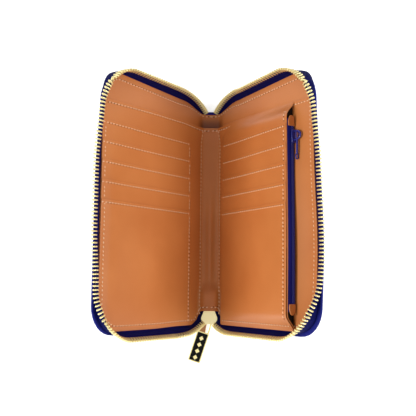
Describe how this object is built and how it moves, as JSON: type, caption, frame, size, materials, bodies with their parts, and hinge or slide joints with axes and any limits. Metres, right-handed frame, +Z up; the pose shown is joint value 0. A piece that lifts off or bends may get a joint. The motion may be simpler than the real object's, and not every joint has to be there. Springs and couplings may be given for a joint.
{
  "type": "passport holder",
  "caption": "Zip-around travel wallet for a passport, open on its spine, with card slots inside both covers and a zipped coin pouch on one.",
  "frame": {"origin": "centre of the spine's outer face, on the surface the wallet rests on, halfway along the covers' height", "axes": "+Y along the spine, away from the main slider; +Z up, out of the open wallet; +X to the cover with the coin pouch"},
  "size_m": [0.1544, 0.2174, 0.1072],
  "materials": {
    "navy_leather": "smooth satin, fine grain",
    "tan_leather": "smooth satin, cream edge stitching",
    "stiffener": "greyboard, sealed between shell and lining",
    "navy_tape": "woven herringbone tape",
    "navy_nylon": "moulded coil",
    "navy_enamel": "semi-gloss paint",
    "gold_metal": "polished light gold",
    "black_enamel": "glossy fill"
  },
  "bodies": {
    "spine": {"spine_shell": "navy_leather", "spine_board": "stiffener", "spine_lining": "tan_leather", "spine_pocket_wall": "tan_leather", "main_zip_tail_tape": "navy_tape", "main_zip_tail_stop": "gold_metal"},
    "left_cover": {"left_cover_shell": "navy_leather", "left_cover_board": "stiffener", "left_cover_lining": "tan_leather", "left_pocket_wall": "tan_leather", "left_card_slot_1": "tan_leather", "left_card_slot_2": "tan_leather", "left_card_slot_3": "tan_leather", "left_card_slot_4": "tan_leather", "left_card_slot_5": "tan_leather", "left_zip_tape": "navy_tape", "left_zip_teeth": "gold_metal", "left_zip_head_stop": "gold_metal"},
    "right_cover": {"right_cover_shell": "navy_leather", "right_cover_board": "stiffener", "right_cover_lining": "tan_leather", "right_pocket_wall": "tan_leather", "right_card_slot_1": "tan_leather", "right_card_slot_2": "tan_leather", "right_card_slot_3": "tan_leather", "right_card_slot_4": "tan_leather", "right_card_slot_5": "tan_leather", "right_zip_tape": "navy_tape", "right_zip_teeth": "gold_metal", "right_zip_head_stop": "gold_metal", "coin_pouch_front": "tan_leather", "coin_zip_tape_front": "navy_tape", "coin_zip_tape_back": "navy_tape", "coin_zip_coil_front": "navy_nylon", "coin_zip_coil_back": "navy_nylon", "coin_zip_tab_head": "tan_leather", "coin_zip_tab_tail": "tan_leather"},
    "main_slider": {"main_slider_body": "gold_metal", "main_slider_crown": "gold_metal"},
    "main_puller": {"main_pull_tab": "gold_metal", "main_pull_inlay": "black_enamel"},
    "coin_slider": {"coin_slider_body": "navy_enamel", "coin_slider_crown": "navy_enamel"},
    "coin_puller": {"coin_pull_tab": "navy_enamel"}
  },
  "joints": [
    {"name": "left_cover_hinge", "type": "hinge", "parent": "spine", "child": "left_cover", "pos_m": [-0.0072, 0, 0.003], "axis": [0, -1, 0], "range_deg": [-33, 52]},
    {"name": "right_cover_hinge", "type": "hinge", "parent": "spine", "child": "right_cover", "pos_m": [0.0072, 0, 0.003], "axis": [0, 1, 0], "range_deg": [-29, 56]},
    {"name": "main_slider_slide", "type": "slide", "parent": "spine", "child": "main_slider", "axis": [0, 1, 0], "range_m": [0, 0.004]},
    {"name": "main_puller_swing", "type": "hinge", "parent": "main_slider", "child": "main_puller", "pos_m": [0, -0.08153, 0.00213], "axis": [0.9511, -0.309, 0], "range_deg": [-1, 150]},
    {"name": "coin_slider_slide", "type": "slide", "parent": "right_cover", "child": "coin_slider", "axis": [0, 1, 0], "range_m": [-0.112, 0]},
    {"name": "coin_puller_swing", "type": "hinge", "parent": "coin_slider", "child": "coin_puller", "pos_m": [0.0581, 0.04925, 0.08651], "axis": [-0.829, 0, 0.5592], "range_deg": [0, 150]}
  ]
}
